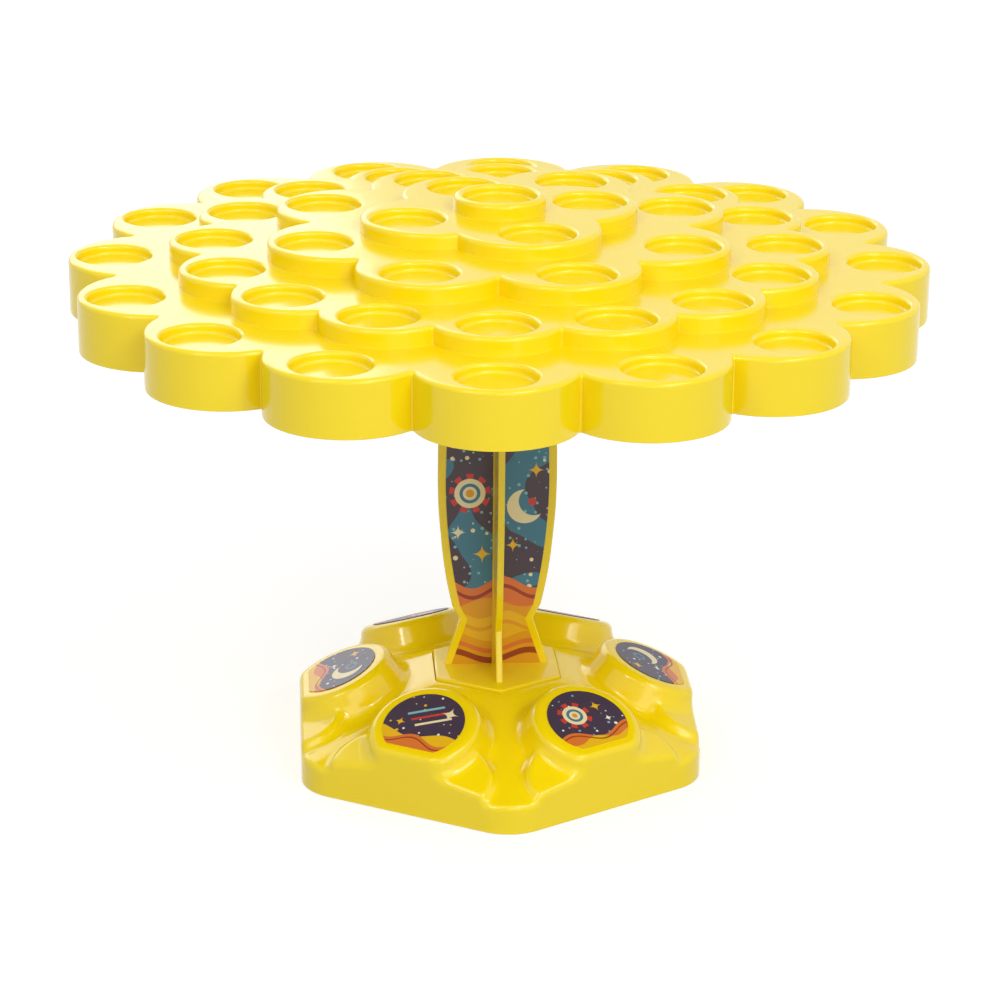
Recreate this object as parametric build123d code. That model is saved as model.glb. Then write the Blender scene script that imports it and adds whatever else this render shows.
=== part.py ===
from build123d import *
import math
import os

# Balancing tree game. A stepped, flower-shaped crown with shallow cups stands loose on the
# tip of a cross-ribbed trunk, and the trunk's six-sided foot plugs into a moulded base.
# Millimetres, +Z up. The origin is on the ground, below the trunk's axis.
# One corner of the base and one edge of the trunk's plain ribs point to -Y.

# Crown: one thin moulding with five tiers, from the middle button out to the outer tier
crown_height = 137.5            # ground to the top of the middle button
crown_wall = 2.0
skirt_depth = 13.0              # outer tier's top face down to the open rim
cup_radius = 8.5
cup_depth = 2.3
cup_rim_fillet = 0.5
cup_rim_width = 2.1             # edge of a cup out to the tip of its petal
button_radius = 10.7
button_rise = 3.6               # height of the step up to the button
fourth_cup_gap = 3.5            # cups of this tier to the step up from it
fourth_petal_overlap = 5.8      # how far a petal's circle reaches over the line between two petals
fourth_petal_count = 4
fourth_rise = 3.5
third_cup_gap = 3.2
third_petal_overlap = 2.2
third_petal_count = 8
third_rise = 4.2
second_cup_gap = 1.9
second_petal_overlap = 3.1
second_rise = 4.1
outer_cup_gap = 4.3
outer_petal_overlap = 2.0
outer_petal_count = 16          # in the second tier too
notch_fillet = 1.2              # between two petals
rim_fillet = 0.8                # along the top edge of every tier
crown_turn = -4.45              # degrees, how the loose crown is turned on the trunk at rest
inner_tier_turn = 22.5          # degrees, the two inner tiers against the outer petals

# Pivot: a round-tipped pin in the trunk, a thimble over its tip, a socket in the crown
ball_radius = 3.0
pivot_clearance = 0.05          # between two round faces that turn on each other
thimble_wall = 1.5
hub_wall = 3.4                  # crown's hub, round its socket
pin_radius = 1.8
pin_length_in_head = 14.0
collar_radius = 3.6
collar_thickness = 1.2
tilt_room = 6.0                 # middle of the ball down to the trunk's head

# Trunk: four ribs in a cross, with a head above and a six-sided foot below
rib_thickness = 1.6
blade_reach = 14.25             # axis to the edge of a rib, at its widest
shoulder_setback = 0.75         # how far the edge is drawn in at the shoulder
blade_low_setback = 1.3         # the same at a point of the blade's curve
hip_setback = 3.5
waist_setback = 5.4
shoulder_drop = 22.0            # top of the head down to the ribs' shoulders
blade_rise = 19.8               # the curve's point up to the widest place
blade_low_rise = 12.5           # hip up to the curve's point
hip_rise = 3.7                  # waist up to the hip
waist_rise = 11.6               # foot's top up to the waist
rib_foot_setback = 4.6          # foot's corner in to the ribs' edge
head_radius = 5.2
head_length = 18.0
head_fillet = 1.0
foot_radius = 17.3              # to a corner of the six-sided foot
foot_top = 20.4
foot_proud = 0.8                # foot's top above the base's flat top
foot_depth = 7.0                # how far the foot reaches into its pocket
foot_wall = 1.8
foot_fillet = 0.5

# Printed labels on the trunk and in the base's six round pods
label_thickness = 0.2
print_border = 1.9              # plain strip along a rib's edge
print_gap = 0.3                 # between a print and the plain rib beside it
print_head_gap = 3.0            # between a print and the rib's shoulder
medallion_margin = 1.1          # between a medallion and the pod's rounded edge
medallion_cut = 2.1             # how far the medallion's straight side is cut in

# Base: a shallow six-sided pyramid with a pod and two lower lobes on every side
base_across_flats = 95.4
base_corner_fillet = 12.0
base_wall = 2.0
facet_tilt = 22.5               # degrees
plateau_margin = 1.6            # corner of the trunk's foot out to a corner of the flat top
pocket_clearance = 0.2
pod_tilt = 23.0                 # degrees
pod_setback = 9.3               # side of the base in to the middle of a pod's top
pod_drop = 0.5                  # flat top down to the middle of a pod's top
pod_top_radius = 12.9
pod_flare = 6.2                 # how much wider a pod is at its foot, below the base's top
pod_depth = 26.0
pod_fillet = 2.0
lobe_tilt = 26.0                # degrees, outwards
lobe_side_tilt = 8.0            # degrees, away from the pod
lobe_setback = 1.7
lobe_side = 11.0                # pod's middle line to the middle of a lobe
lobe_drop = 8.1                 # middle of a pod's top down to the middle of a lobe's
lobe_top_radius = 9.4
lobe_flare = 3.6
lobe_depth = 18.0
lobe_fillet = 1.3
base_rim_fillet = 0.9

# Worked out from the sizes above
side_count = 6
cup_margin = cup_radius + cup_rim_width             # middle of a cup out to the tip of its petal
fourth_tip_radius = button_radius + fourth_cup_gap + cup_radius + cup_margin
third_tip_radius = fourth_tip_radius + third_cup_gap + cup_radius + cup_margin
second_tip_radius = third_tip_radius + second_cup_gap + cup_radius + cup_margin
outer_tip_radius = second_tip_radius + outer_cup_gap + cup_radius + cup_margin
outer_top = crown_height - button_rise - fourth_rise - third_rise - second_rise
second_top = outer_top + second_rise
third_top = second_top + third_rise
fourth_top = third_top + fourth_rise
skirt_bottom = outer_top - skirt_depth
thimble_inner = ball_radius + pivot_clearance
thimble_outer = thimble_inner + thimble_wall
socket_radius = thimble_outer + pivot_clearance
hub_radius = socket_radius + hub_wall
pivot_height = crown_height - cup_depth - crown_wall - socket_radius
head_top = pivot_height - tilt_room
waist_height = foot_top + waist_rise
hip_height = waist_height + hip_rise
blade_low_height = hip_height + blade_low_rise
blade_height = blade_low_height + blade_rise
plateau_height = foot_top - foot_proud
pocket_floor = foot_top - foot_depth
base_apothem = base_across_flats / 2
plateau_radius = foot_radius + plateau_margin
pod_reach = base_apothem - pod_setback
pod_height = plateau_height - pod_drop
lobe_reach = base_apothem - lobe_setback
lobe_height = pod_height - lobe_drop
medallion_radius = pod_top_radius - pod_fillet - medallion_margin
hexagon_share = math.cos(math.pi / side_count)      # middle of a side against a corner
overrun = crown_wall                                # how far a cut runs past its face
touch = crown_wall / 100                            # two places this close are the same


# Radius of a tier's petals, from the tier's tips and how far neighbouring petals overlap
def petal_radius(tip_radius, overlap, petal_count):
    spread_share = math.sin(math.pi / petal_count)
    return (tip_radius * spread_share + overlap) / (1 + spread_share)


# A flower outline: round petals with a small round notch between them, the first one on -Y
def flower(tip_radius, overlap, petal_count, inset):
    petal = petal_radius(tip_radius, overlap, petal_count)
    middle = tip_radius - petal
    half_pitch = math.pi / petal_count
    spread = petal + notch_fillet
    notch_middle = middle * math.cos(half_pitch) + math.sqrt(
        spread ** 2 - (middle * math.sin(half_pitch)) ** 2)
    petal_middle = Vector(0, -middle)
    to_notch = Vector(0, -notch_middle).rotate(Axis.Z, math.degrees(half_pitch)) - petal_middle
    petal_end = petal_middle + to_notch * ((petal - inset) / spread)
    petal_tip = Vector(0, inset - tip_radius)
    notch = Vector(0, notch_fillet + inset - notch_middle).rotate(Axis.Z, math.degrees(half_pitch))
    with BuildSketch() as outline:
        with BuildLine():
            for index in range(petal_count):
                turn = index * 360 / petal_count
                next_turn = turn + 360 / petal_count
                start = Vector(-petal_end.X, petal_end.Y).rotate(Axis.Z, turn)
                end = petal_end.rotate(Axis.Z, turn)
                following = Vector(-petal_end.X, petal_end.Y).rotate(Axis.Z, next_turn)
                ThreePointArc(start, petal_tip.rotate(Axis.Z, turn), end)
                ThreePointArc(end, notch.rotate(Axis.Z, turn), following)
        make_face()
    return outline.sketch


# The tiers as rows of outline, turn, top height, cup circle radius and cup count
def tier_rows(inset):
    second_count = outer_petal_count
    return [
        (flower(outer_tip_radius, outer_petal_overlap, outer_petal_count, inset), 0, outer_top,
         outer_tip_radius - cup_margin, outer_petal_count),
        (flower(second_tip_radius, second_petal_overlap, second_count, inset), 0, second_top,
         second_tip_radius - cup_margin, second_count),
        (flower(third_tip_radius, third_petal_overlap, third_petal_count, inset), inner_tier_turn,
         third_top, third_tip_radius - cup_margin, third_petal_count),
        (flower(fourth_tip_radius, fourth_petal_overlap, fourth_petal_count, inset), inner_tier_turn,
         fourth_top, fourth_tip_radius - cup_margin, fourth_petal_count),
        (Circle(button_radius - inset), 0, crown_height, 0, 1),
    ]


# The places of one tier's cups, on its top face
def cup_places(turn, top, circle, count):
    return [Rot(0, 0, turn + index * 360 / count) * Pos(0, -circle, top) for index in range(count)]


# Crown tray: stepped shell, one cup in every petal, hub with the socket underneath
def make_crown_tray():
    body = None
    for outline, turn, top, circle, count in tier_rows(0):
        tier = Pos(0, 0, skirt_bottom) * extrude(Rot(0, 0, turn) * outline, top - skirt_bottom)
        tier = fillet(tier.edges().filter_by_position(Axis.Z, top, top), rim_fillet)
        body = tier if body is None else body + tier
    rooms = []
    pillars = []
    cups = []
    pillar = Cylinder(cup_radius + crown_wall, cup_depth + crown_wall,
                      align=(Align.CENTER, Align.CENTER, Align.MAX))
    cup = Cylinder(cup_radius, cup_depth + overrun, align=(Align.CENTER, Align.CENTER, Align.MIN))
    for outline, turn, top, circle, count in tier_rows(crown_wall):
        height = top - crown_wall - skirt_bottom + overrun
        rooms.append(Pos(0, 0, skirt_bottom - overrun) * extrude(Rot(0, 0, turn) * outline, height))
        for place in cup_places(turn, top, circle, count):
            pillars.append(place * pillar)
            cups.append(place * Pos(0, 0, -cup_depth) * cup)
    hub = Pos(0, 0, pivot_height) * Cylinder(
        hub_radius, crown_height - pivot_height, align=(Align.CENTER, Align.CENTER, Align.MIN))
    cavity = rooms[0] + rooms[1:] - (pillars + [hub])
    socket = Pos(0, 0, pivot_height) * Sphere(socket_radius)
    shell = body - cavity - cups - socket
    rims = [edge for edge in shell.edges().filter_by(GeomType.CIRCLE) if is_cup_rim(edge)]
    return Rot(0, 0, crown_turn) * fillet(rims, cup_rim_fillet)


# A cup's rim has the cup's radius and lies on the top face of a tier
def is_cup_rim(edge):
    tops = [outer_top, second_top, third_top, fourth_top, crown_height]
    on_top = min(abs(edge.arc_center.Z - top) for top in tops) < touch
    return on_top and abs(edge.radius - cup_radius) < touch


# Pivot pin: shank in the trunk's head, collar on top of it, ball tip
def make_pivot_pin():
    shank_bottom = head_top - pin_length_in_head
    shank = Pos(0, 0, shank_bottom) * Cylinder(
        pin_radius, pivot_height - shank_bottom, align=(Align.CENTER, Align.CENTER, Align.MIN))
    collar = Pos(0, 0, head_top) * Cylinder(
        collar_radius, collar_thickness, align=(Align.CENTER, Align.CENTER, Align.MIN))
    return shank + collar + Pos(0, 0, pivot_height) * Sphere(ball_radius)


# Thimble between the pin's ball and the crown's socket, both faces round the same point
def make_pivot_thimble():
    upper = Cylinder(thimble_outer + overrun, thimble_outer + overrun,
                     align=(Align.CENTER, Align.CENTER, Align.MIN))
    thimble = (Sphere(thimble_outer) - Sphere(thimble_inner)) & upper
    return Pos(0, 0, pivot_height) * thimble


# One half of a rib's outline in the XZ plane, from the inner line out to its edge
def rib_half(inner, inset, top):
    low = (foot_radius - rib_foot_setback - inset, foot_top)
    waist = (blade_reach - waist_setback - inset, waist_height)
    hip = (blade_reach - hip_setback - inset, hip_height)
    widest = (blade_reach - inset, blade_height)
    shoulder = (blade_reach - shoulder_setback - inset, top)
    with BuildSketch(Plane.XZ) as half:
        with BuildLine():
            Polyline((inner, top), (inner, foot_top), low, waist, hip)
            ThreePointArc(hip, (blade_reach - blade_low_setback - inset, blade_low_height), widest)
            Line(widest, shoulder)
            Line(shoulder, (inner, top))
        make_face()
    return half.sketch


# Trunk: two crossed plates, neck and head for the pin, six-sided foot hollowed out between two webs
def make_trunk():
    shoulder = head_top - shoulder_drop
    shoulder_reach = blade_reach - shoulder_setback
    half = rib_half(0, 0, shoulder)
    with BuildSketch(Plane.XZ) as neck_sketch:
        with BuildLine():
            Line((0, head_top - head_length), (0, shoulder))
            Line((0, shoulder), (shoulder_reach, shoulder))
            Line((shoulder_reach, shoulder), (head_radius, head_top - head_length / 2))
            Line((head_radius, head_top - head_length / 2), (0, head_top - head_length / 2))
            Line((0, head_top - head_length / 2), (0, head_top - head_length))
        make_face()
    neck = neck_sketch.sketch
    blade = extrude(half, rib_thickness / 2, both=True) + extrude(neck, rib_thickness / 2, both=True)
    plate = blade + mirror(blade, about=Plane.YZ)
    ribs = plate + Rot(0, 0, 90) * plate
    head = Pos(0, 0, head_top - head_length) * Cylinder(
        head_radius, head_length, align=(Align.CENTER, Align.CENTER, Align.MIN))
    head = fillet(head.edges().filter_by_position(Axis.Z, head_top, head_top), head_fillet)
    throat = Pos(0, 0, head_top - head_length) * Cone(
        rib_thickness / 2, head_radius, head_radius, align=(Align.CENTER, Align.CENTER, Align.MAX))
    foot = Pos(0, 0, pocket_floor) * extrude(hexagon(foot_radius), foot_depth)
    foot = fillet(foot.edges().filter_by_position(Axis.Z, foot_top, foot_top), foot_fillet)
    foot -= Pos(0, 0, pocket_floor - overrun) * extrude(
        hexagon(foot_radius - foot_wall / hexagon_share), foot_depth - foot_wall + overrun)
    web = Pos(0, 0, pocket_floor) * Box(
        (2 * foot_radius - foot_wall) * hexagon_share, rib_thickness, foot_depth,
        align=(Align.CENTER, Align.CENTER, Align.MIN))
    foot = foot + web + Rot(0, 0, 90) * web
    bore_depth = pin_length_in_head + pivot_clearance
    bore = Pos(0, 0, head_top - bore_depth) * Cylinder(
        pin_radius + pivot_clearance, bore_depth + overrun, align=(Align.CENTER, Align.CENTER, Align.MIN))
    return ribs + throat + head + foot - bore


# A hexagon with one corner on -Y
def hexagon(corner_radius):
    return RegularPolygon(corner_radius, side_count, rotation=90)


# Print on one of the four faces of the trunk's printed plate
def make_trunk_print(side, back):
    inner = rib_thickness / 2 + print_gap
    outline = rib_half(inner, print_border, head_top - shoulder_drop - print_head_gap)
    label = Pos(0, -rib_thickness / 2, 0) * extrude(outline, label_thickness)
    if side < 0:
        label = mirror(label, about=Plane.YZ)
    if back:
        label = mirror(label, about=Plane.XZ)
    return label


# The place of a pod's top on one side of the base, with its own +Z along the pod's axis
def pod_place(index):
    turn = 360 / side_count * index
    return Rot(0, 0, turn) * Pos(pod_reach, 0, pod_height) * Rot(0, pod_tilt, 0)


# The place of a lobe's top beside the first side's pod, on the side given by +1 or -1
def lobe_place(side):
    return Pos(lobe_reach, side * lobe_side, lobe_height) * Rot(0, lobe_tilt, 0) * Rot(
        -side * lobe_side_tilt, 0, 0)


# A round boss that widens downwards, cut off at the first side's wall and rounded along the cut
def boss(place, inset, top_radius, flare, depth, edge_fillet):
    top = top_radius - inset
    body = Cone(top + flare, top, depth, align=(Align.CENTER, Align.CENTER, Align.MAX))
    if edge_fillet > inset:
        body = fillet(body.edges().sort_by(Axis.Z)[-1:], edge_fillet - inset)
    room = Pos(base_apothem - inset, 0, 0) * Box(
        base_across_flats, base_across_flats, base_across_flats,
        align=(Align.MAX, Align.CENTER, Align.MIN))
    body = (place * Pos(0, 0, -inset) * body) & room
    if base_rim_fillet > inset:
        wall = body.faces().sort_by(Axis.X)[-1]
        rims = [edge for edge in wall.edges() if edge.bounding_box().max.Z > touch]
        body = fillet(rims, base_rim_fillet - inset)
    return body


# The base's outer form, or the form of its hollow when inset by the wall
def base_form(inset):
    slope = math.tan(math.radians(facet_tilt))
    drop = inset / math.cos(math.radians(facet_tilt))
    top = plateau_height - inset
    top_apothem = plateau_radius * hexagon_share - (drop - inset) / slope
    bottom_apothem = top_apothem + top / slope
    pyramid = loft([hexagon(bottom_apothem / hexagon_share),
                    Pos(0, 0, top) * hexagon(top_apothem / hexagon_share)])
    outline = hexagon((base_apothem - inset) / hexagon_share)
    outline = fillet(outline.vertices(), base_corner_fillet - inset)
    prism = extrude(outline, crown_height)
    body = pyramid & prism
    if base_rim_fillet > inset:
        body = fillet(wall_rims(body), base_rim_fillet - inset)
    pod = boss(pod_place(0), inset, pod_top_radius, pod_flare, pod_depth, pod_fillet)
    bosses = [pod]
    for side in (-1, 1):
        bosses.append(boss(lobe_place(side), inset, lobe_top_radius, lobe_flare, lobe_depth, lobe_fillet))
    turned = [Rot(0, 0, 360 / side_count * index) * part for index in range(side_count) for part in bosses]
    return (body + turned) & prism


# The edges where the upright wall meets the top
def wall_rims(form):
    walls = [face for face in form.faces() if abs(face.normal_at().Z) < hexagon_share / 2]
    return [edge for face in walls for edge in face.edges() if edge.bounding_box().min.Z > touch]


# Base shell: hollow from below, with a blind pocket for the trunk's foot
def make_base_shell():
    outer = base_form(0)
    hollow = base_form(base_wall)
    pocket_radius = foot_radius + pocket_clearance / hexagon_share
    box_radius = pocket_radius + base_wall / hexagon_share
    box_height = plateau_height - pocket_floor + base_wall
    pocket_box = Pos(0, 0, pocket_floor - base_wall) * extrude(hexagon(box_radius), box_height)
    pocket = Pos(0, 0, pocket_floor) * extrude(hexagon(pocket_radius), foot_depth)
    return outer - hollow + (pocket_box & outer) - pocket


# Medallion: a round label with its outer side cut straight
def make_medallion(index):
    disc = Circle(medallion_radius)
    cut = Pos(medallion_radius - medallion_cut, 0) * Rectangle(
        medallion_radius, 2 * medallion_radius, align=(Align.MIN, Align.CENTER))
    return pod_place(index) * extrude(disc - cut, label_thickness)


os.makedirs("parts", exist_ok=True)
export_step(make_crown_tray(), "parts/crown_tray.step")
export_step(make_pivot_pin(), "parts/pivot_pin.step")
export_step(make_pivot_thimble(), "parts/pivot_thimble.step")
export_step(make_trunk(), "parts/trunk.step")
for side, side_name in ((-1, "left"), (1, "right")):
    export_step(make_trunk_print(side, False), f"parts/trunk_print_front_{side_name}.step")
    export_step(make_trunk_print(side, True), f"parts/trunk_print_back_{side_name}.step")
export_step(make_base_shell(), "parts/base_shell.step")
for index in range(side_count):
    export_step(make_medallion(index), f"parts/base_medallion_{index + 1}.step")
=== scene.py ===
import bpy
import numpy as np
from math import atan2, cos, pi, radians, sin, sqrt, tan
from mathutils import Matrix, Vector


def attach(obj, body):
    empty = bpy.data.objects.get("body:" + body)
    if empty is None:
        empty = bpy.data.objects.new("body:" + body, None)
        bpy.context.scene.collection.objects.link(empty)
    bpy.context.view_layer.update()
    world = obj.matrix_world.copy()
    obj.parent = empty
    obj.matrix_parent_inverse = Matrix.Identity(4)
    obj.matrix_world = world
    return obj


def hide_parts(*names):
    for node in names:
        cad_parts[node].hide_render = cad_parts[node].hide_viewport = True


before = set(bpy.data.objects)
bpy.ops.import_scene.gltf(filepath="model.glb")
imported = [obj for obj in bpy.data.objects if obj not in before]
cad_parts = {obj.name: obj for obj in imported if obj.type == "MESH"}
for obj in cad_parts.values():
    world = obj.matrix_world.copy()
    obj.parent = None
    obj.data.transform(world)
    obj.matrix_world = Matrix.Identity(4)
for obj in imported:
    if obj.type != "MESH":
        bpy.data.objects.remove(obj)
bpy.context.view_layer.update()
mm = 0.001
scene = bpy.context.scene
print("frame loaded")


# camera: the eye is 68 cm in front of the game and 31 cm up, with a long lens
view = {
    "eye": (-0.05030, -0.67794, 0.3103),
    "down": 20.037,
    "turn": 4.3,
    "roll": 0.519,
    "lens": 109.0,
    "sensor": 36,
}


def addCamera():
    down, turn, roll = (radians(view[key]) for key in ("down", "turn", "roll"))
    ahead = Vector((cos(down) * sin(turn), cos(down) * cos(turn), -sin(down)))
    right = ahead.cross(Vector((0, 0, 1))).normalized()
    up = right.cross(ahead)
    right, up = right * cos(roll) + up * sin(roll), up * cos(roll) - right * sin(roll)
    data = bpy.data.cameras.new("camera")
    data.lens = view["lens"]
    data.sensor_width = view["sensor"]
    camera = bpy.data.objects.new("camera", data)
    scene.collection.objects.link(camera)
    facing = Matrix((right, up, -ahead)).transposed().to_4x4()
    camera.matrix_world = Matrix.Translation(view["eye"]) @ facing
    scene.camera = camera


addCamera()
print("camera set")


# what every piece is made with, in millimetres and degrees
making = {
    "sameSpot": 0.002,  # points nearer than this are one point
    "cornersKept": 4,  # faces with more corners are split
    "smoothAngle": 40,
    "normalWeight": 100,
    "circleSides": 64,
}


def deselectAll():
    bpy.ops.object.select_all(action="DESELECT")


def onlyActive(piece):
    deselectAll()
    piece.select_set(True)
    bpy.context.view_layer.objects.active = piece


def applyModifier(piece, kind, **settings):
    onlyActive(piece)
    modifier = piece.modifiers.new(kind.lower(), kind)
    for key, value in settings.items():
        setattr(modifier, key, value)
    bpy.ops.object.modifier_apply(modifier=modifier.name)


def combine(piece, other, operation):
    applyModifier(piece, "BOOLEAN", object=other, operation=operation, solver="EXACT")
    bpy.data.objects.remove(other)


def joinAll(parts, name):
    deselectAll()
    for part in parts:
        part.select_set(True)
    bpy.context.view_layer.objects.active = parts[0]
    bpy.ops.object.join()
    parts[0].name = name
    return parts[0]


# a filled circle shaped to the first outline, then pulled up from ring to ring
def stack(name, rings):
    outline, height = rings[0]
    deselectAll()
    bpy.ops.mesh.primitive_circle_add(vertices=len(outline), radius=1, fill_type="NGON")
    piece = bpy.context.object
    piece.name = name
    for vertex, point in zip(piece.data.vertices, outline):
        vertex.co = (point[0] * mm, point[1] * mm, height * mm)
    bpy.ops.object.mode_set(mode="EDIT")
    bpy.ops.mesh.select_all(action="SELECT")
    for outline, height in rings[1:]:
        bpy.ops.mesh.extrude_region_move()
        bpy.ops.object.mode_set(mode="OBJECT")
        fresh = [vertex for vertex in piece.data.vertices if vertex.select]
        for vertex, point in zip(fresh, outline):
            vertex.co = (point[0] * mm, point[1] * mm, height * mm)
        bpy.ops.object.mode_set(mode="EDIT")
    bpy.ops.mesh.select_all(action="SELECT")
    bpy.ops.mesh.normals_make_consistent(inside=False)
    bpy.ops.object.mode_set(mode="OBJECT")
    return piece


def prism(name, outline, low, high):
    return stack(name, [(outline, low), (outline, high)])


# a quarter round as pairs: how far in and how far up, from upright to level
def quarterRound(radius, steps):
    return [(radius * (1 - cos(pi / 2 * k / steps)), radius * sin(pi / 2 * k / steps))
            for k in range(steps + 1)]


def circleOutline(radius, count=making["circleSides"]):
    return [(radius * sin(2 * pi * k / count), -radius * cos(2 * pi * k / count)) for k in range(count)]


def hexagonOutline(radius):
    return [(radius * sin(pi / 3 * k), -radius * cos(pi / 3 * k)) for k in range(6)]


# points that a boolean left twice are merged, then flat faces with many corners are split
def splitFlatFaces(piece):
    onlyActive(piece)
    bpy.ops.object.mode_set(mode="EDIT")
    bpy.ops.mesh.select_all(action="SELECT")
    bpy.ops.mesh.remove_doubles(threshold=making["sameSpot"] * mm)
    bpy.ops.mesh.select_all(action="DESELECT")
    bpy.ops.object.mode_set(mode="OBJECT")
    for face in piece.data.polygons:
        face.select = len(face.vertices) > making["cornersKept"]
    bpy.ops.object.mode_set(mode="EDIT")
    bpy.ops.mesh.quads_convert_to_tris(quad_method="BEAUTY", ngon_method="BEAUTY")
    bpy.ops.object.mode_set(mode="OBJECT")


def shadeSmooth(piece, angle=making["smoothAngle"]):
    onlyActive(piece)
    bpy.ops.object.shade_smooth_by_angle(angle=radians(angle))
    applyModifier(piece, "WEIGHTED_NORMAL", keep_sharp=True, weight=making["normalWeight"])


# crown: four stepped tiers like flowers and a round button, a cup in every petal, hollow below
crown = {
    # tip radius, petal radius, petal count, turn and top height of each tier
    "tiers": [
        (100.0, 17.997, 16, 0, 122.1),
        (76.6, 15.098, 16, 0, 126.2),
        (55.6, 16.979, 8, 22.5, 130.4),
        (33.3, 17.191, 4, 22.5, 133.9),
    ],
    "buttonRadius": 10.7,
    "top": 137.5,
    "turn": -4.45,
    "notchRadius": 0.4,
    "skirtBottom": 109.1,
    "wall": 2.0,
    "cupRadius": 8.5,
    "cupDepth": 2.3,
    "cupMargin": 10.6,
    "hubRadius": 8.0,
    "hubBottom": 128.55,
    "socketRadius": 4.6,
    "petalSteps": 22,
    "notchSteps": 5,
    "rimRounding": 1.05,
    "stepRounding": 0.12,
    "cupRimRounding": 0.95,
    "cupFloorRounding": 0.8,
    "underRounding": 0.25,
    "roundSteps": 4,
    "underSteps": 2,
    "overlap": 0.015,  # keeps two level faces from lying in one plane
    "tierSunk": 0.5,  # how far a tier reaches into the one below it
    "cutterAbove": 1,  # how far the cutters pass the plastic
    "cutterBelow": 2,
    "stepStagger": 1,  # keeps the room's parts from ending on one level
    "buttonSides": 96,
    "pillarSides": 48,
    "socketSides": 48,
    "socketRings": 24,
}


# round petals joined by small round notches, moved in by inset
def flowerOutline(tip, petal, count, turn, inset):
    middle = tip - petal
    half = pi / count
    notch = crown["notchRadius"]
    notchMiddle = middle * cos(half) + sqrt((petal + notch) ** 2 - (middle * sin(half)) ** 2)
    petalSweep = atan2(notchMiddle * sin(half), notchMiddle * cos(half) - middle)
    notchSweep = atan2(middle * sin(half), notchMiddle - middle * cos(half))
    outline = []

    def addPoint(around, outward, sideways):
        outline.append((outward * sin(around) + sideways * cos(around),
                        sideways * sin(around) - outward * cos(around)))

    for index in range(count):
        around = radians(turn + crown["turn"]) + 2 * half * index
        for k in range(crown["petalSteps"]):
            f = petalSweep * (2 * k / (crown["petalSteps"] - 1) - 1)
            addPoint(around, middle + (petal - inset) * cos(f), (petal - inset) * sin(f))
        for k in range(1, crown["notchSteps"]):
            f = notchSweep * (2 * k / crown["notchSteps"] - 1)
            addPoint(around + half, notchMiddle - (notch + inset) * cos(f), (notch + inset) * sin(f))
    return outline


# one tier: upright, rounded along its top edge, flared at its foot or rounded along its open rim
def makeTier(outlineAt, stepTop, top):
    if stepTop is None:
        under = quarterRound(crown["underRounding"], crown["underSteps"])
        rings = [(outlineAt(inward), crown["skirtBottom"] + crown["underRounding"] - up)
                 for inward, up in reversed(under)]
    else:
        flare = quarterRound(crown["stepRounding"], crown["roundSteps"])
        level = stepTop + crown["stepRounding"] - crown["overlap"]
        rings = [(outlineAt(-flare[-1][0]), stepTop - crown["tierSunk"])]
        rings += [(outlineAt(-inward), level - up) for inward, up in reversed(flare)]
    rim = quarterRound(crown["rimRounding"], crown["roundSteps"])
    rings += [(outlineAt(inward), top - crown["rimRounding"] + up) for inward, up in rim]
    return stack("tier", rings)


# what one cup takes away: rounded floor edge, upright wall, rim rounded outwards
def makeCupCutter():
    floor = quarterRound(crown["cupFloorRounding"], crown["roundSteps"])
    rim = quarterRound(crown["cupRimRounding"], crown["roundSteps"])
    lowest = crown["cupFloorRounding"] - crown["cupDepth"]
    rings = [(circleOutline(crown["cupRadius"] - inward), lowest - up) for inward, up in reversed(floor)]
    rings += [(circleOutline(crown["cupRadius"] + inward),
               up - crown["cupRimRounding"] + crown["overlap"]) for inward, up in rim]
    rings.append((rings[-1][0], crown["cutterAbove"]))
    return stack("cup", rings)


# copies of one piece at all the places, joined
def copyTo(piece, places):
    copies = []
    for place in places:
        onlyActive(piece)
        bpy.ops.object.duplicate()
        bpy.context.object.data.transform(Matrix.Translation(Vector(place) * mm))
        copies.append(bpy.context.object)
    bpy.data.objects.remove(piece)
    return joinAll(copies, "copies")


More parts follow.
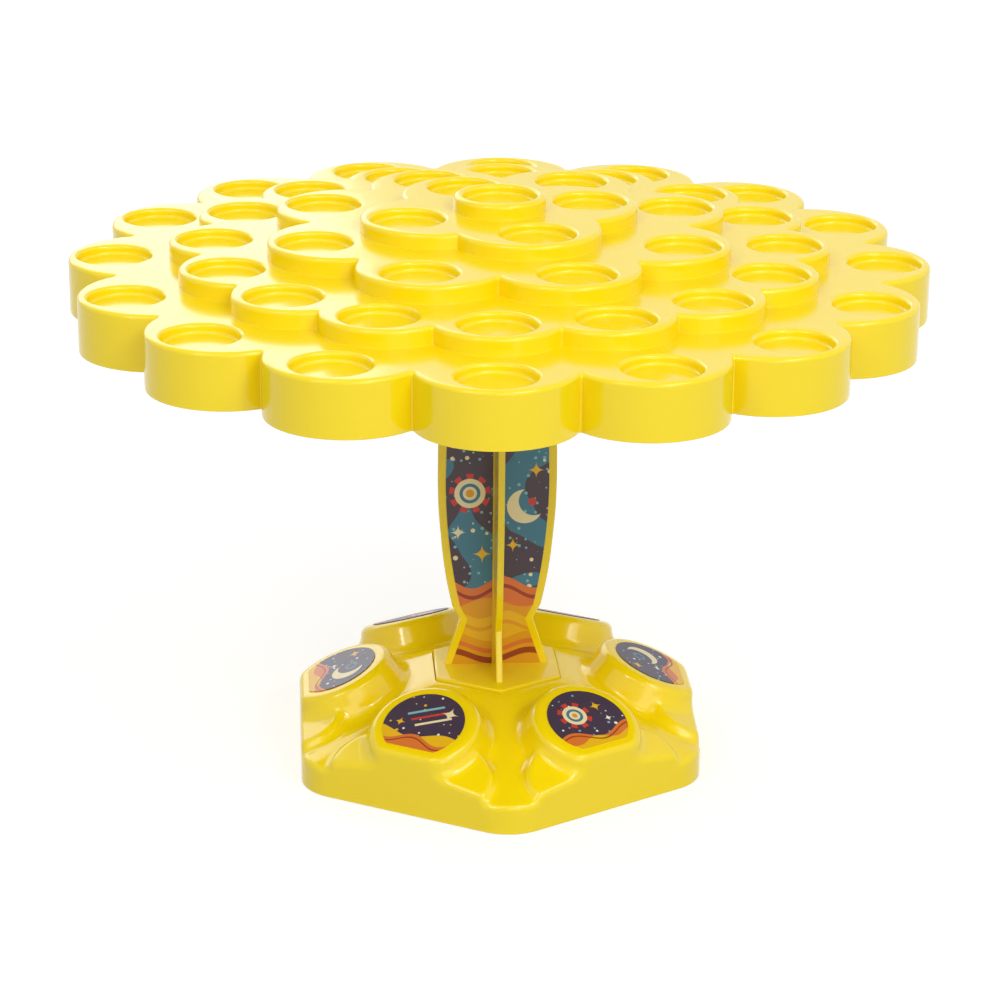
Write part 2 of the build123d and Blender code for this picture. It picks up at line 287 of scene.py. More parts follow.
def makeCrown():
    tops = [tier[4] for tier in crown["tiers"]] + [crown["top"]]
    shapes = [lambda inset, row=tier[:4]: flowerOutline(*row, inset) for tier in crown["tiers"]]
    shapes.append(lambda inset: circleOutline(crown["buttonRadius"] - inset, crown["buttonSides"]))
    body = makeTier(shapes[0], None, tops[0])
    body.name = "crownTray"
    for index in range(1, len(shapes)):
        combine(body, makeTier(shapes[index], tops[index - 1], tops[index]), "UNION")
    places = [(0, 0, crown["top"])]
    for tip, petal, count, turn, top in crown["tiers"]:
        for index in range(count):
            around = radians(turn + crown["turn"]) + 2 * pi * index / count
            out = tip - crown["cupMargin"]
            places.append((out * sin(around), -out * cos(around), top))
    combine(body, copyTo(makeCupCutter(), places), "DIFFERENCE")
    print("crown tiers and cups made")
    under = quarterRound(crown["underRounding"], crown["underSteps"])
    wall = crown["wall"]
    low = crown["skirtBottom"]
    rings = [(shapes[0](wall - crown["underRounding"]), low - crown["cutterBelow"])]
    rings += [(shapes[0](wall - inward), low + crown["underRounding"] - crown["overlap"] - up)
              for inward, up in reversed(under)]
    rings.append((shapes[0](wall), tops[0] - wall))
    room = stack("room", rings)
    for index in range(1, len(crown["tiers"])):
        step = prism("step", shapes[index](wall), low + index * crown["stepStagger"], tops[index] - wall)
        combine(room, step, "UNION")
    pillar = prism("pillar", circleOutline(crown["cupRadius"] + wall, crown["pillarSides"]),
                   -crown["cupDepth"] - wall, 0)
    combine(room, copyTo(pillar, places), "DIFFERENCE")
    hub = prism("hub", circleOutline(crown["hubRadius"]), crown["hubBottom"], crown["top"])
    combine(room, hub, "DIFFERENCE")
    combine(body, room, "DIFFERENCE")
    deselectAll()
    bpy.ops.mesh.primitive_uv_sphere_add(
        segments=crown["socketSides"], ring_count=crown["socketRings"],
        radius=crown["socketRadius"] * mm, location=(0, 0, crown["hubBottom"] * mm))
    combine(body, bpy.context.object, "DIFFERENCE")
    splitFlatFaces(body)
    shadeSmooth(body)
    return body


crownTray = makeCrown()
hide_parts("crown_tray")
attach(crownTray, "crown")
print("crown made,", len(crownTray.data.polygons), "faces")


# base: a shallow six-sided pyramid, a tilted round pod and two lower lobes on each side, soft blends
base = {
    "apothem": 47.7,
    "cornerRadius": 12.0,
    "wall": 2.0,
    "facetTilt": 22.5,
    "plateauRadius": 18.9,
    "plateauHeight": 19.6,
    "podTilt": 23.0,
    "podReach": 38.4,
    "podHeight": 19.1,
    "podRadius": 12.9,
    "podSlope": 6.2 / 26,
    "podRounding": 1.6,
    "lobeTilt": 26.0,
    "lobeSideTilt": 8.0,
    "lobeReach": 46.0,
    "lobeSide": 11.0,
    "lobeHeight": 11.0,
    "lobeRadius": 9.4,
    "lobeSlope": 3.6 / 18,
    "lobeRounding": 1.3,
    "rimRounding": 1.0,
    "ridgeBlend": 1.2,
    "plateauBlend": 0.8,
    "podBlend": 2.4,
    "lobeBlend": 2.4,
    "pocketRadius": 17.42,
    "pocketFloor": 13.4,
    "pocketLip": 0.3,
    "lipSteps": 3,
    "lipOverlap": 0.01,
    "cornerSteps": 12,
    "bossDepth": 14,
    "wallsTop": 40,  # well above the plateau, as the next one is
    "cutterTop": 30,
    "outerGrain": 0.5,
    "innerGrain": 0.9,
    "grainsBelow": 4,  # the rough form starts this many grains under the ground
    "grainsLoose": 2,  # and this many at its foot aren't settled
    "settleRounds": (6, 4, 3),
    "easeShare": 0.5,  # the net is evened out between these rounds
    "easeRepeat": 2,
    "nudge": 0.01,
    "leastSteepness": 0.2,
    "longestMove": 0.6,
    "smoothAngle": 50,
}


def softMax(a, b, blend):
    overlap = np.maximum(blend - np.abs(a - b), 0) / blend
    return np.maximum(a, b) + overlap * overlap * blend / 4


def softMin(a, b, blend):
    return -softMax(-a, -b, blend)


# both at once, with the edge between them rounded
def roundedBoth(a, b, radius):
    inside = np.minimum(np.maximum(a, b), -radius)
    return inside + np.hypot(np.maximum(a + radius, 0), np.maximum(b + radius, 0))


def roundBoss(points, place, tilt, sideTilt, radius, slope, rounding):
    turned = Matrix.Rotation(radians(tilt), 3, "Y") @ Matrix.Rotation(radians(sideTilt), 3, "X")
    local = (points - np.array(place)) @ np.array(turned)
    lean = atan2(slope, 1)
    flank = (np.hypot(local[:, 0], local[:, 1]) - radius + local[:, 2] * slope) * cos(lean)
    return roundedBoth(flank, local[:, 2], rounding)


# how far points in millimetres lie outside the base's surface, or the one that lies inset below it
def outsideBase(points, inset):
    tilt = radians(base["facetTilt"])
    sides = [radians(60 * k) for k in range(6)]
    out = np.stack([points[:, 0] * cos(a) + points[:, 1] * sin(a) for a in sides])
    side = np.stack([points[:, 1] * cos(a) - points[:, 0] * sin(a) for a in sides])
    nearest = out.argmax(axis=0)
    pick = np.arange(len(points))
    ordered = np.sort(out, axis=0)
    height = points[:, 2] - base["plateauHeight"]
    plateauApothem = base["plateauRadius"] * cos(pi / 6)
    facets = [(ordered[k] - plateauApothem) * sin(tilt) + height * cos(tilt) for k in (-1, -2)]
    form = softMax(softMax(facets[0], facets[1], base["ridgeBlend"]), height, base["plateauBlend"])
    # fold every point into the sector of the side that it is nearest to
    folded = np.stack([out[nearest, pick], side[nearest, pick], points[:, 2]], axis=1)
    lobes = None
    for hand in (-1, 1):
        lobe = roundBoss(folded, (base["lobeReach"], hand * base["lobeSide"], base["lobeHeight"]),
                         base["lobeTilt"], -hand * base["lobeSideTilt"], base["lobeRadius"],
                         base["lobeSlope"], base["lobeRounding"] + inset)
        lobes = lobe if lobes is None else softMin(lobes, lobe, base["lobeBlend"])
    pod = roundBoss(folded, (base["podReach"], 0, base["podHeight"]), base["podTilt"], 0,
                    base["podRadius"], base["podSlope"], base["podRounding"] + inset)
    form = softMin(form, lobes, base["lobeBlend"])
    form = softMin(form, pod, base["podBlend"])
    inner = base["apothem"] - base["cornerRadius"]
    past = np.abs(folded[:, 1]) - inner * tan(pi / 6)
    wall = np.where(past > 0, np.hypot(np.maximum(folded[:, 0] - inner, 0), np.maximum(past, 0)),
                    folded[:, 0] - inner) - base["cornerRadius"]
    return roundedBoth(form, wall, base["rimRounding"] + inset) + inset


# moves points straight onto that surface
def settle(points, inset, rounds):
    nudge, longest = base["nudge"], base["longestMove"]
    for _ in range(rounds):
        gap = outsideBase(points, inset)
        rise = np.stack([(outsideBase(points + step, inset) - gap) / nudge
                         for step in np.eye(3) * nudge], axis=1)
        steepness = np.maximum((rise * rise).sum(axis=1), base["leastSteepness"])
        move = np.clip(gap / steepness, -longest, longest)
        points = points - rise * move[:, None]
    return points


def readPoints(piece):
    points = np.empty(len(piece.data.vertices) * 3)
    piece.data.vertices.foreach_get("co", points)
    return points.reshape(-1, 3) / mm


def writePoints(piece, points):
    piece.data.vertices.foreach_set("co", (points * mm).ravel())
    piece.data.update()


# the base's upright walls, six-sided with rounded corners
def wallOutline(inset):
    corner = base["cornerRadius"] - inset
    reach = (base["apothem"] - base["cornerRadius"]) / cos(pi / 6)
    steps = base["cornerSteps"]
    outline = []
    for index in range(6):
        around = pi / 3 * index
        for k in range(steps + 1):
            f = around - pi / 6 + pi / 3 * k / steps
            outline.append((reach * sin(around) + corner * sin(f),
                            -reach * cos(around) - corner * cos(f)))
    return outline


# the base's rough form from cones, remeshed evenly and then settled on its smooth surface
def makeBaseForm(name, inset, grain):
    slope = tan(radians(base["facetTilt"]))
    low = -base["grainsBelow"] * grain
    top = base["plateauHeight"] - inset
    walls = wallOutline(inset)
    deselectAll()
    bpy.ops.mesh.primitive_cone_add(
        vertices=6, radius1=(base["plateauRadius"] + (top - low) / slope / cos(pi / 6)) * mm,
        radius2=base["plateauRadius"] * mm, depth=(top - low) * mm,
        location=(0, 0, (top + low) / 2 * mm))
    pyramid = bpy.context.object
    bpy.ops.object.transform_apply(location=True, rotation=True, scale=True)
    combine(pyramid, prism("walls", walls, low, base["wallsTop"]), "INTERSECT")
    # place, tilt outwards, tilt sideways, radius and flare of each boss
    bosses = [((base["podReach"], 0, base["podHeight"]), base["podTilt"], 0,
               base["podRadius"], base["podSlope"])]
    for hand in (-1, 1):
        bosses.append(((base["lobeReach"], hand * base["lobeSide"], base["lobeHeight"]),
                       base["lobeTilt"], -hand * base["lobeSideTilt"],
                       base["lobeRadius"], base["lobeSlope"]))
    parts = [pyramid]
    depth = base["bossDepth"]
    for place, lean, sideLean, radius, flare in bosses:
        deselectAll()
        bpy.ops.mesh.primitive_cone_add(
            vertices=making["circleSides"], radius1=(radius - inset + depth * flare) * mm,
            radius2=(radius - inset) * mm, depth=depth * mm,
            location=(0, 0, -(depth / 2 + inset) * mm))
        boss = bpy.context.object
        bpy.ops.object.transform_apply(location=True, rotation=True, scale=True)
        boss.data.transform(Matrix.Translation(Vector(place) * mm)
                            @ Matrix.Rotation(radians(lean), 4, "Y")
                            @ Matrix.Rotation(radians(sideLean), 4, "X"))
        combine(boss, prism("walls", walls, low, base["wallsTop"]), "INTERSECT")
        for index in range(6):
            onlyActive(boss)
            bpy.ops.object.duplicate()
            copy = bpy.context.object
            copy.data.transform(Matrix.Rotation(radians(60 * index), 4, "Z"))
            parts.append(copy)
        bpy.data.objects.remove(boss)
    body = joinAll(parts, name)
    applyModifier(body, "REMESH", mode="VOXEL", voxel_size=grain * mm, adaptivity=0)
    settled = (low + base["grainsLoose"] * grain) * mm
    upper = [vertex.index for vertex in body.data.vertices if vertex.co.z > settled]
    for rounds in base["settleRounds"]:
        points = readPoints(body)
        points[upper] = settle(points[upper], inset, rounds)
        writePoints(body, points)
        if rounds != base["settleRounds"][-1]:
            onlyActive(body)
            bpy.ops.object.mode_set(mode="EDIT")
            bpy.ops.mesh.select_all(action="SELECT")
            bpy.ops.mesh.vertices_smooth(factor=base["easeShare"], repeat=base["easeRepeat"])
            bpy.ops.object.mode_set(mode="OBJECT")
    onlyActive(body)
    bpy.ops.object.mode_set(mode="EDIT")
    bpy.ops.mesh.select_all(action="SELECT")
    cut = 0 if inset == 0 else low / 2 * mm  # the shell ends on the ground, its room below it
    bpy.ops.mesh.bisect(plane_co=(0, 0, cut), plane_no=(0, 0, 1), clear_inner=True, use_fill=True)
    bpy.ops.object.mode_set(mode="OBJECT")
    return body


def makeBase():
    body = makeBaseForm("baseShell", 0, base["outerGrain"])
    print("base's outer form made,", len(body.data.polygons), "faces")
    room = makeBaseForm("room", base["wall"], base["innerGrain"])
    boxRadius = base["pocketRadius"] + base["wall"] / cos(pi / 6)
    socketBottom = base["pocketFloor"] - base["wall"]
    socket = prism("socket", hexagonOutline(boxRadius), socketBottom, base["cutterTop"])
    combine(room, socket, "DIFFERENCE")
    combine(body, room, "DIFFERENCE")
    lip = quarterRound(base["pocketLip"], base["lipSteps"])
    level = base["plateauHeight"] - base["pocketLip"] + base["lipOverlap"]
    rings = [(hexagonOutline(base["pocketRadius"]), base["pocketFloor"])]
    rings += [(hexagonOutline(base["pocketRadius"] + inward), level + up) for inward, up in lip]
    rings.append((rings[-1][0], base["cutterTop"]))
    combine(body, stack("pocket", rings), "DIFFERENCE")
    shadeSmooth(body, base["smoothAngle"])
    return body


baseShell = makeBase()
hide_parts("base_shell")
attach(baseShell, "stand")
print("base made,", len(baseShell.data.polygons), "faces")


# trunk: two crossed plates with a head above and a six-sided foot below
trunk = {
    # reach and height of the rib's edge, from inside the foot up to the shoulder
    "edge": [(12.7, 19.5), (12.7, 20.4), (8.85, 32.0), (10.75, 35.7), (12.05, 42.0), (12.95, 48.2),
             (13.55, 54.4), (14.05, 60.5), (14.25, 68.0), (14.2, 75.0), (13.5, 100.55)],
    "curve": (3, 8),
    "curveSteps": 4,
    "neck": (5.0, 113.86),
    "thickness": 1.6,
    "headRadius": 5.2,
    "headBottom": 104.55,
    "headTop": 122.55,
    "footRadius": 17.3,
    "footBottom": 13.4,
    "footTop": 20.4,
    "footWall": 1.8,
    "boreRadius": 1.85,
    "boreDepth": 14.05,
    "ribRounding": 0.35,
    "footRounding": 0.55,
    "headRounding": 1.0,
    "ribSteps": 3,
    "topSteps": 4,
    "boreSides": 32,
    "cutterPast": 2,
}


# a rib's edge, as a smooth line through its points from the hip to the widest place
def ribEdge():
    points = trunk["edge"]
    first, last = trunk["curve"]
    line = points[:first]
    for k in range(first, last):
        a, b, c, d = (points[min(max(k + step, first), last)] for step in (-1, 0, 1, 2))
        for part in range(trunk["curveSteps"]):
            f = part / trunk["curveSteps"]
            line.append(tuple(
                0.5 * (2 * b[i] + (c[i] - a[i]) * f + (2 * a[i] - 5 * b[i] + 4 * c[i] - d[i]) * f ** 2
                       + (3 * b[i] - a[i] - 3 * c[i] + d[i]) * f ** 3) for i in (0, 1)))
    return line + points[last:] + [trunk["neck"]]


# an outline that runs anticlockwise, moved in by inset along its own corners
def insetOutline(outline, inset):
    moved = []
    for k, point in enumerate(outline):
        before, here, after = (Vector(outline[(k + step) % len(outline)]) for step in (-1, 0, 1))
        a, b = (here - before).normalized(), (after - here).normalized()
        inward = Vector((-a.y - b.y, a.x + b.x)) / (1 + a.dot(b))
        moved.append(tuple(Vector(point) + inward * inset))
    return moved


# a plate whose long edges are rounded on both faces
def roundedPlate(outline, thickness, rounding):
    rim = quarterRound(rounding, trunk["ribSteps"])
    half = thickness / 2 - rounding
    rings = [(insetOutline(outline, inward), -half - up) for inward, up in reversed(rim)]
    rings += [(insetOutline(outline, inward), half + up) for inward, up in rim]
    return stack("plate", rings)


# an upright piece whose top edge is rounded
def roundedTop(name, outlineAt, low, high, rounding):
    rim = quarterRound(rounding, trunk["topSteps"])
    return stack(name, low + [(outlineAt(inward), high - rounding + up) for inward, up in rim])


def makeTrunk():
    edge = ribEdge()
    outline = edge + [(-x, z) for x, z in reversed(edge)]
    plates = []
    for turn in (0, 90):
        plate = roundedPlate(outline, trunk["thickness"], trunk["ribRounding"])
        plate.data.transform(Matrix.Rotation(radians(turn), 4, "Z") @ Matrix.Rotation(pi / 2, 4, "X"))
        plates.append(plate)
    body = plates[0]
    body.name = "trunkBody"
    combine(body, plates[1], "UNION")
    head, bottom, top = trunk["headRadius"], trunk["footBottom"], trunk["footTop"]
    throat = [(circleOutline(trunk["thickness"] / 2), trunk["headBottom"] - head),
              (circleOutline(head), trunk["headBottom"])]
    combine(body, roundedTop("head", lambda inset: circleOutline(head - inset), throat,
                             trunk["headTop"], trunk["headRounding"]), "UNION")
    foot = roundedTop("foot", lambda inset: hexagonOutline(trunk["footRadius"] - inset / cos(pi / 6)),
                      [(hexagonOutline(trunk["footRadius"]), bottom)], top, trunk["footRounding"])
    inner = trunk["footRadius"] - trunk["footWall"] / cos(pi / 6)
    hollow = prism("hollow", hexagonOutline(inner), bottom - trunk["cutterPast"], top - trunk["footWall"])
    combine(foot, hollow, "DIFFERENCE")
    combine(body, foot, "UNION")
    bore = prism("bore", circleOutline(trunk["boreRadius"], trunk["boreSides"]),
                 trunk["headTop"] - trunk["boreDepth"], trunk["headTop"] + trunk["cutterPast"])
    combine(body, bore, "DIFFERENCE")
    splitFlatFaces(body)
    shadeSmooth(body)
    return body


trunkBody = makeTrunk()
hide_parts("trunk")
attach(trunkBody, "stand")
print("trunk made,", len(trunkBody.data.polygons), "faces")


# a material and the nodes that it is made from
class Nodes:
    def __init__(self, name):
        self.material = bpy.data.materials.new(name)
        self.material.use_nodes = True
        self.tree = self.material.node_tree
        self.shader = self.tree.nodes["Principled BSDF"]

    def add(self, kind, **settings):
        node = self.tree.nodes.new(kind)
        for key, value in settings.items():
            setattr(node, key, value)
        return node

    # a link from another node's output, or a plain value
    def put(self, socket, value):
        if isinstance(value, bpy.types.NodeSocket):
            self.tree.links.new(value, socket)
        else:
            socket.default_value = value

    def noise(self, place, scale, detail):
        cloud = self.add("ShaderNodeTexNoise")
        self.put(cloud.inputs["Vector"], place)
        cloud.inputs["Scale"].default_value = scale
        cloud.inputs["Detail"].default_value = detail
        return cloud.outputs["Fac"]

    def mix(self, factor, a, b):
        layer = self.add("ShaderNodeMix", data_type="RGBA")
        for key, value in (("Factor", factor), ("A", a), ("B", b)):
            self.put(layer.inputs[key], value)
        return layer.outputs["Result"]

    def spread(self, value, low, high):
        node = self.add("ShaderNodeMapRange")
        self.put(node.inputs["Value"], value)
        node.inputs["To Min"].default_value = low
        node.inputs["To Max"].default_value = high
        return node.outputs["Result"]

    def bump(self, height, strength, distance):
        node = self.add("ShaderNodeBump")
        self.put(node.inputs["Height"], height)
        node.inputs["Strength"].default_value = strength
        node.inputs["Distance"].default_value = distance
        self.put(self.shader.inputs["Normal"], node.outputs["Normal"])


plastic = {
    "color": (0.93, 0.71, 0.004, 1),
    "deepColor": (0.91, 0.685, 0.002, 1),
    "roughness": (0.12, 0.20),
    "specks": 900,
    "clouds": 22,
    "waviness": 0.04,
}
nylon = {
    "color": (0.74, 0.72, 0.65, 1),
    "deepColor": (0.68, 0.66, 0.59, 1),
    "roughness": (0.38, 0.52),
    "specks": 1600,
    "clouds": 90,
    "waviness": 0.08,
}
# what both plastics share
gloss = {
    "cloudDetail": 4,
    "speckDetail": 2,
    "speckHeight": 0.0002,
    "ior": 1.5,
}


# moulded plastic: faint cloudy colour, slightly uneven gloss, a trace of orange peel
def makePlastic(name, settings):
    nodes = Nodes(name)
    place = nodes.add("ShaderNodeTexCoord").outputs["Object"]
    cloud = nodes.noise(place, settings["clouds"], gloss["cloudDetail"])
    color = nodes.mix(cloud, settings["color"], settings["deepColor"])
    nodes.put(nodes.shader.inputs["Base Color"], color)
    nodes.put(nodes.shader.inputs["Roughness"], nodes.spread(cloud, *settings["roughness"]))
    specks = nodes.noise(place, settings["specks"], gloss["speckDetail"])
    nodes.bump(specks, settings["waviness"], gloss["speckHeight"])
    nodes.shader.inputs["IOR"].default_value = gloss["ior"]
    return nodes.material


def setMaterial(piece, material):
    piece.data.materials.clear()
    piece.data.materials.append(material)


yellow = makePlastic("yellowPlastic", plastic)
for piece in (crownTray, baseShell, trunkBody):
    setMaterial(piece, yellow)
white = makePlastic("whiteNylon", nylon)
for name in ("pivot_pin", "pivot_thimble"):
    setMaterial(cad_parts[name], white)
print("plastics made")


# printing inks
ink = {
    "night": (0.052, 0.029, 0.046, 1),
    "violet": (0.040, 0.024, 0.070, 1),
    "teal": (0.045, 0.181, 0.287, 1),
    "paleTeal": (0.20, 0.47, 0.55, 1),
    "cream": (0.80, 0.72, 0.47, 1),
    "white": (0.82, 0.82, 0.80, 1),
    "red": (0.56, 0.036, 0.03, 1),
    "orange": (0.66, 0.165, 0.03, 1),
    "amber": (0.70, 0.33, 0.004, 1),
    "gold": (0.78, 0.46, 0.008, 1),
    "rust": (0.29, 0.036, 0.003, 1),
}
# how broad a sun's rays are, and the printed film's own surface
film = {
    "rayLevel": -0.1,
    "clouds": 0.9,
    "cloudDetail": 3,
    "roughness": (0.26, 0.40),
    "grain": 6,
    "grainDetail": 2,
    "waviness": 0.03,
    "grainHeight": 0.00002,
}


# a printed picture: shapes painted over one another, in flat millimetres from its middle
class Picture(Nodes):
    def __init__(self, name, middle, turned, ground):
        super().__init__(name)
        flat = self.add("ShaderNodeMapping", vector_type="TEXTURE")
        flat.inputs["Location"].default_value = Vector(middle) * mm
        flat.inputs["Rotation"].default_value = turned.to_euler()
        flat.inputs["Scale"].default_value = (mm, mm, mm)
        self.put(flat.inputs["Vector"], self.add("ShaderNodeTexCoord").outputs["Object"])
        split = self.add("ShaderNodeSeparateXYZ")
        self.put(split.inputs["Vector"], flat.outputs["Vector"])
        self.point, self.x, self.y = flat.outputs["Vector"], split.outputs["X"], split.outputs["Y"]
        self.color = ink[ground]

    def calc(self, operation, *values):
        node = self.add("ShaderNodeMath", operation=operation)
        for socket, value in zip(node.inputs, values):
            self.put(socket, value)
        return node.outputs["Value"]

    def both(self, a, b):
        return self.calc("MULTIPLY", a, b)

    def distance(self, x, y):
        node = self.add("ShaderNodeVectorMath", operation="DISTANCE")
        self.put(node.inputs[0], self.point)
        node.inputs[1].default_value = (x, y, 0)
        return node.outputs["Value"]

    def disc(self, x, y, radius):
        return self.calc("LESS_THAN", self.distance(x, y), radius)

    def ring(self, x, y, radius, halfWidth):
        return self.calc("COMPARE", self.distance(x, y), radius, halfWidth)

    # a disc less another one beside it
    def crescent(self, x, y, radius, right, up, bite):
        outside = self.calc("GREATER_THAN", self.distance(x + right, y + up), bite)
        return self.both(self.disc(x, y, radius), outside)

    # a sparkle with four hollow sides
    def sparkle(self, x, y, radius):
        across = self.calc("SQRT", self.calc("ABSOLUTE", self.calc("SUBTRACT", self.x, x)))
        along = self.calc("SQRT", self.calc("ABSOLUTE", self.calc("SUBTRACT", self.y, y)))
        return self.calc("LESS_THAN", self.calc("ADD", across, along), sqrt(radius))

    # rays round a middle, out to a radius
    def rays(self, x, y, radius, count):
        up, right = self.calc("SUBTRACT", self.y, y), self.calc("SUBTRACT", self.x, x)
        around = self.calc("ARCTAN2", up, right)
        wave = self.calc("SINE", self.calc("MULTIPLY", around, count))
        return self.both(self.calc("GREATER_THAN", wave, film["rayLevel"]), self.disc(x, y, radius))

    # a slanted streak with square ends, from its middle
    def streak(self, x, y, lean, halfLength, halfWidth):
        right, up = self.calc("SUBTRACT", self.x, x), self.calc("SUBTRACT", self.y, y)
        along = self.calc("MULTIPLY_ADD", right, cos(lean), self.calc("MULTIPLY", up, sin(lean)))
        across = self.calc("MULTIPLY_ADD", up, cos(lean), self.calc("MULTIPLY", right, -sin(lean)))
        return self.both(self.calc("COMPARE", along, 0, halfLength),
                         self.calc("COMPARE", across, 0, halfWidth))

    def waveLine(self, level, height, pitch, shift):
        wave = self.calc("SINE", self.calc("MULTIPLY_ADD", self.x, pitch, shift))
        return self.calc("MULTIPLY_ADD", wave, height, level)

    def dune(self, level, height, pitch, shift):
        return self.calc("LESS_THAN", self.y, self.waveLine(level, height, pitch, shift))

    # a ripple that follows a dune's crest
    def ripple(self, level, height, pitch, shift, halfWidth):
        return self.calc("COMPARE", self.y, self.waveLine(level, height, pitch, shift), halfWidth)

    def patches(self, scale, level):
        cloud = self.add("ShaderNodeTexNoise", noise_dimensions="2D")
        self.put(cloud.inputs["Vector"], self.point)
        cloud.inputs["Scale"].default_value = scale
        cloud.inputs["Detail"].default_value = 0
        return self.calc("GREATER_THAN", cloud.outputs["Fac"], level)

    # scattered dots, in some of the cells of a net
    def dots(self, cellsPerMm, radius, share):
        cells = self.add("ShaderNodeTexVoronoi", voronoi_dimensions="2D")
        self.put(cells.inputs["Vector"], self.point)
        cells.inputs["Scale"].default_value = cellsPerMm
        kept = self.add("ShaderNodeSeparateXYZ")
        self.put(kept.inputs["Vector"], cells.outputs["Color"])
        size = self.calc("MULTIPLY", kept.outputs["Y"], radius * cellsPerMm)
        near = self.calc("LESS_THAN", cells.outputs["Distance"], size)
        return self.both(near, self.calc("LESS_THAN", kept.outputs["X"], share))

    def paint(self, layers):
        for shape, sizes, color in layers:
            self.color = self.mix(getattr(self, shape)(*sizes), self.color, ink[color])
        self.put(self.shader.inputs["Base Color"], self.color)
        cloud = self.noise(self.point, film["clouds"], film["cloudDetail"])
        self.put(self.shader.inputs["Roughness"], self.spread(cloud, *film["roughness"]))
        grain = self.noise(self.point, film["grain"], film["grainDetail"])
        self.bump(grain, film["waviness"], film["grainHeight"])
        return self.material


# trunk's print: night sky with a sun and a moon over dunes, x across and y up from the ground
trunkPicture = [
    ("patches", (0.10, 0.56), "teal"),
    ("dots", (0.45, 0.42, 0.5), "paleTeal"),
    ("dots", (0.27, 0.62, 0.45), "cream"),
    ("rays", (-6.6, 64.5, 5.0, 9), "red"),
    ("disc", (-6.6, 64.5, 3.7), "cream"),
    ("ring", (-6.6, 64.5, 2.1, 0.4), "teal"),
    ("disc", (-6.6, 64.5, 1.0), "amber"),
    ("crescent", (6.6, 61.0, 4.3, 2.2, 1.4, 3.7), "cream"),
    ("disc", (8.4, 62.2, 1.0), "red"),
    ("sparkle", (9.2, 70.2, 2.2), "gold"),
    ("sparkle", (3.8, 51.2, 2.0), "gold"),
    ("sparkle", (-9.4, 54.6, 2.1), "cream"),
    ("sparkle", (-3.6, 49.0, 2.6), "gold"),
    ("dune", (41.6, 1.5, 0.42, 0.9), "orange"),
    ("ripple", (39.2, 1.5, 0.42, 0.9, 0.5), "rust"),
    ("dune", (36.4, 1.2, 0.36, 2.4), "amber"),
    ("dune", (33.2, 1.0, 0.50, 0.4), "gold"),
    ("ripple", (30.4, 1.0, 0.50, 0.4, 0.5), "amber"),
    ("dune", (27.6, 1.3, 0.33, 5.2), "amber"),
    ("ripple", (25.0, 1.3, 0.33, 5.2, 0.6), "orange"),
    ("ripple", (22.6, 1.3, 0.33, 5.2, 0.8), "rust"),
]
for side, around, face in (("front", 0, -1), ("back", pi, 1)):
    upright = Matrix.Rotation(around, 3, "Z") @ Matrix.Rotation(pi / 2, 3, "X")
    printed = Picture(side + "Print", (0, face, 0), upright, "night").paint(trunkPicture)
    for hand in ("left", "right"):
        setMaterial(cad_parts["trunk_print_" + side + "_" + hand], printed)

# medallions: three small landscapes, x to the right and y up the slope from the middle
medallionPictures = [
    [
        ("dots", (0.50, 0.34, 0.5), "paleTeal"),
        ("dots", (0.36, 0.42, 0.5), "white"),
        ("crescent", (2.6, 2.4, 4.0, -1.7, 1.1, 3.5), "cream"),
        ("ring", (1.1, 3.5, 1.3, 0.35), "teal"),
        ("sparkle", (-5.2, 4.6, 1.9), "gold"),
        ("sparkle", (-2.6, -0.9, 1.3), "white"),
        ("dune", (-3.6, 1.3, 0.42, 2.6), "orange"),
        ("dune", (-5.4, 0.9, 0.55, 0.6), "gold"),
        ("ripple", (-4.6, 1.3, 0.42, 2.6, 0.2), "rust"),
    ],
    [
        ("dots", (0.44, 0.34, 0.5), "white"),
        ("dots", (0.33, 0.42, 0.4), "gold"),
        ("streak", (-1.2, 4.2, 0.5, 4.4, 0.35), "paleTeal"),
        ("streak", (0.4, 2.7, 0.5, 4.4, 0.35), "red"),
        ("streak", (2.0, 1.2, 0.5, 4.4, 0.35), "cream"),
        ("sparkle", (4.9, 4.4, 2.4), "cream"),
        ("sparkle", (-5.8, -0.6, 1.5), "gold"),
        ("dune", (-3.4, 1.1, 0.36, 5.4), "gold"),
        ("dune", (-4.8, 1.2, 0.48, 1.9), "orange"),
        ("ripple", (-5.9, 1.2, 0.48, 1.9, 0.2), "rust"),
    ],
    [
        ("dots", (0.47, 0.34, 0.5), "paleTeal"),
        ("dots", (0.35, 0.42, 0.45), "white"),
        ("rays", (-2.2, 2.4, 4.2, 8), "red"),
        ("disc", (-2.2, 2.4, 3.0), "cream"),
        ("ring", (-2.2, 2.4, 1.7, 0.35), "teal"),
        ("disc", (-2.2, 2.4, 0.7), "amber"),
        ("sparkle", (4.4, 3.6, 1.8), "gold"),
        ("sparkle", (5.4, -0.8, 1.2), "white"),
        ("dune", (-3.9, 1.4, 0.40, 4.2), "orange"),
        ("dune", (-5.7, 0.8, 0.60, 2.2), "gold"),
        ("ripple", (-4.9, 1.4, 0.40, 4.2, 0.2), "rust"),
    ],
]
for index in range(6):
    around = Matrix.Rotation(radians(60 * index), 3, "Z")
    lean = Matrix.Rotation(radians(base["podTilt"]), 3, "Y")
    tilted = around @ lean @ Matrix.Rotation(pi / 2, 3, "Z")
    middle = around @ Vector((base["podReach"], 0, base["podHeight"]))
    picture = Picture(f"medallionPrint{index + 1}", middle, tilted, "violet")
    layers = medallionPictures[index % len(medallionPictures)]
    setMaterial(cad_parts[f"base_medallion_{index + 1}"], picture.paint(layers))
print("prints made")


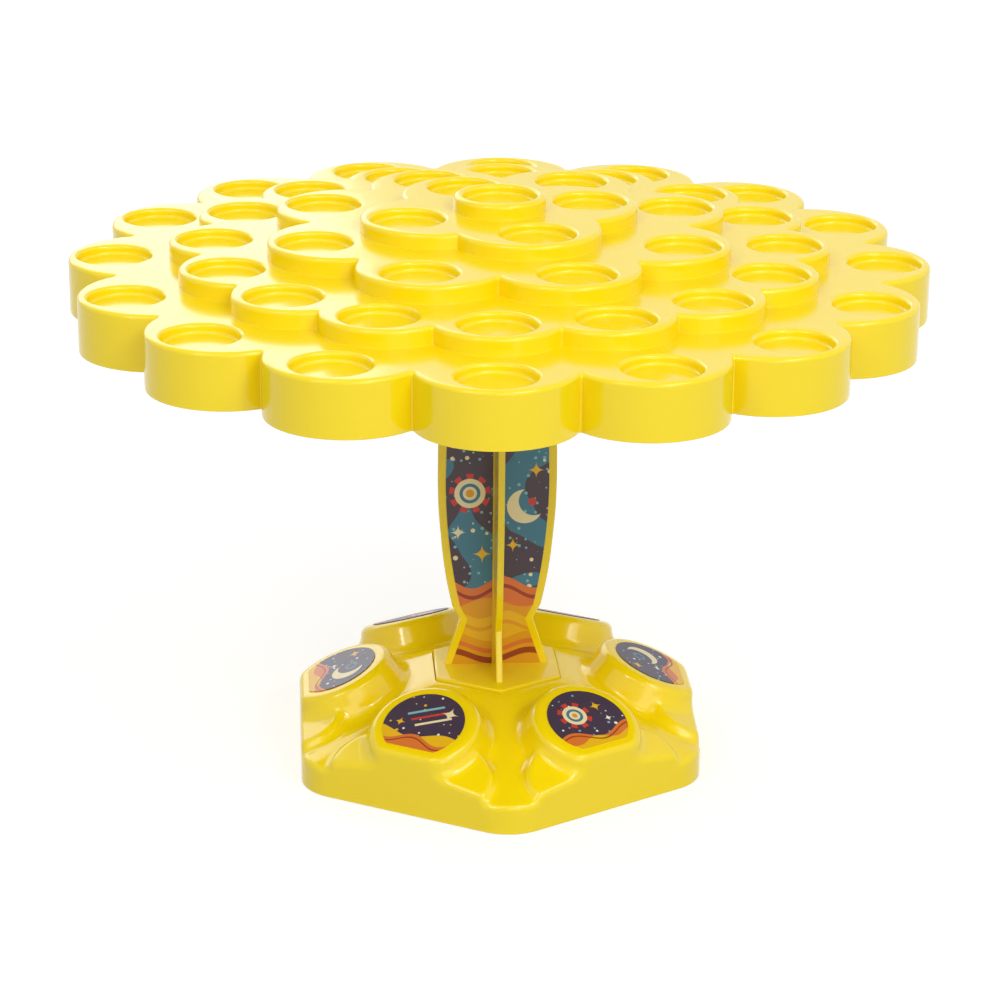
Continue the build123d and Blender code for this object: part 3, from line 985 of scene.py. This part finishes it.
# floor and soft studio light, each lamp's place, size and power
studio = {
    "floorSize": 8.0,
    "floorHeight": -0.0002,
    "floorRoughness": 0.9,
    "floorBounce": 0.45,
    "floorSeen": 0.46,
    "floorGlow": 0.65,
    "world": 0.57,
    "aim": (0, 0, 0.08),
    "lamps": {
        "key": ((0.78, -0.92, 1.26), 0.8, 7.4),
        "keySpark": ((0.60, -1.20, 1.0), 0.06, 1.3),
        "fill": ((-0.72, -1.00, 1.24), 0.8, 4.2),
        "fillSpark": ((-0.90, -1.0, 0.95), 0.06, 1.1),
        "front": ((0.40, -1.58, 0.56), 1.0, 5.6),
        "back": ((-0.5, 1.4, 0.9), 1.2, 7.5),
    },
}


def addStudio():
    deselectAll()
    bpy.ops.mesh.primitive_plane_add(size=studio["floorSize"], location=(0, 0, studio["floorHeight"]))
    floor = bpy.context.object
    floor.name = "floor"
    nodes = Nodes("paperFloor")
    path = nodes.add("ShaderNodeLightPath").outputs
    seen = nodes.add("ShaderNodeMath", operation="MAXIMUM")
    nodes.put(seen.inputs[0], path["Is Camera Ray"])
    nodes.put(seen.inputs[1], path["Is Glossy Ray"])
    bounce, lit = studio["floorBounce"], studio["floorSeen"]
    shade = nodes.mix(seen.outputs["Value"], (bounce, bounce, bounce, 1), (lit, lit, lit, 1))
    nodes.put(nodes.shader.inputs["Base Color"], shade)
    glow = nodes.spread(seen.outputs["Value"], 0, studio["floorGlow"])
    nodes.put(nodes.shader.inputs["Emission Strength"], glow)
    nodes.shader.inputs["Emission Color"].default_value = (1, 1, 1, 1)
    nodes.shader.inputs["Roughness"].default_value = studio["floorRoughness"]
    nodes.shader.inputs["Specular IOR Level"].default_value = 0
    setMaterial(floor, nodes.material)
    world = bpy.data.worlds.new("softWorld")
    world.use_nodes = True
    tree = world.node_tree
    background = tree.nodes["Background"]
    background.inputs["Color"].default_value = (1, 1, 1, 1)
    path = tree.nodes.new("ShaderNodeLightPath").outputs
    seen = tree.nodes.new("ShaderNodeMath")
    seen.operation = "MAXIMUM"
    tree.links.new(path["Is Camera Ray"], seen.inputs[0])
    tree.links.new(path["Is Glossy Ray"], seen.inputs[1])
    level = tree.nodes.new("ShaderNodeMapRange")
    level.inputs["To Min"].default_value = studio["world"]
    level.inputs["To Max"].default_value = 1
    tree.links.new(seen.outputs["Value"], level.inputs["Value"])
    tree.links.new(level.outputs["Result"], background.inputs["Strength"])
    scene.world = world
    for name, (place, size, power) in studio["lamps"].items():
        data = bpy.data.lights.new(name, "AREA")
        data.energy = power
        data.size = size
        lamp = bpy.data.objects.new(name, data)
        scene.collection.objects.link(lamp)
        lamp.location = place
        ahead = Vector(studio["aim"]) - Vector(place)
        lamp.rotation_euler = ahead.to_track_quat("-Z", "Y").to_euler()
    scene.view_settings.view_transform = "Standard"


addStudio()
print("studio set")
